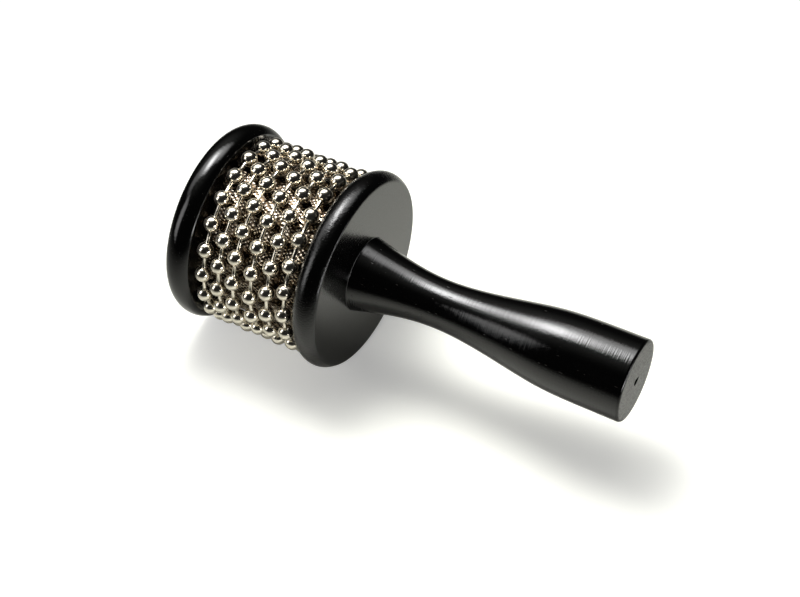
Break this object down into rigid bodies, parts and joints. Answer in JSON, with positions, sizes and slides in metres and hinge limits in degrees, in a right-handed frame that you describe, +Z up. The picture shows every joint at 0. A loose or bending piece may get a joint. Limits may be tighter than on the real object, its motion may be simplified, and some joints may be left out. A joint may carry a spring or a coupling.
{
  "type": "cabasa",
  "caption": "Hand percussion scraper: loops of metal ball chain turn freely on a textured metal drum held between round discs at the end of a turned, waisted wooden handle.",
  "frame": {"origin": "middle of the bottom of the part's box as it lies on the rims of its discs: on the table, under the drum's axis, half-way between the far disc's outer face and the butt", "axes": "+X along the drum's axis towards the handle's butt, +Z up, +Y level and square to the axis"},
  "size_m": [0.171, 0.076, 0.076],
  "materials": {
    "black_lacquer": "black gloss lacquer over close-grained turned wood, pores and tool lines showing faintly",
    "bare_wood": "unfinished turned hardwood",
    "embossed_steel": "thin steel sheet, embossed all over with a fine raised pattern",
    "polished_nickel": "polished nickel plate with a slight warm tint",
    "plain_steel": "bright zinc-plated steel",
    "brass": "turned brass"
  },
  "bodies": {
    "drum": {"handle": "black_lacquer", "near_disc": "black_lacquer", "far_disc": "black_lacquer", "drum_core": "bare_wood", "sleeve": "embossed_steel", "sleeve_tacks": "plain_steel", "tie_bolt": "plain_steel", "bolt_washer": "plain_steel", "handle_insert": "brass"},
    "chain_1": {"chain_1_beads": "polished_nickel", "chain_1_links": "polished_nickel"},
    "chain_2": {"chain_2_beads": "polished_nickel", "chain_2_links": "polished_nickel"},
    "chain_3": {"chain_3_beads": "polished_nickel", "chain_3_links": "polished_nickel"},
    "chain_4": {"chain_4_beads": "polished_nickel", "chain_4_links": "polished_nickel"},
    "chain_5": {"chain_5_beads": "polished_nickel", "chain_5_links": "polished_nickel"},
    "chain_6": {"chain_6_beads": "polished_nickel", "chain_6_links": "polished_nickel"}
  },
  "joints": [
    {"name": "chain_1_turn", "type": "hinge", "parent": "drum", "child": "chain_1", "pos_m": [-0.07195, 0, 0.03745], "axis": [0.9997, 0.0227, 0], "continuous": true},
    {"name": "chain_2_turn", "type": "hinge", "parent": "drum", "child": "chain_2", "pos_m": [-0.06557, 0, 0.03745], "axis": [0.9997, 0.0227, 0], "continuous": true},
    {"name": "chain_3_turn", "type": "hinge", "parent": "drum", "child": "chain_3", "pos_m": [-0.05929, 0, 0.03745], "axis": [0.9997, 0.0227, 0], "continuous": true},
    {"name": "chain_4_turn", "type": "hinge", "parent": "drum", "child": "chain_4", "pos_m": [-0.05186, 0, 0.03745], "axis": [0.9997, 0.0227, 0], "continuous": true},
    {"name": "chain_5_turn", "type": "hinge", "parent": "drum", "child": "chain_5", "pos_m": [-0.04498, 0, 0.03745], "axis": [0.9997, 0.0227, 0], "continuous": true},
    {"name": "chain_6_turn", "type": "hinge", "parent": "drum", "child": "chain_6", "pos_m": [-0.0378, 0, 0.03745], "axis": [0.9997, 0.0227, 0], "continuous": true}
  ]
}
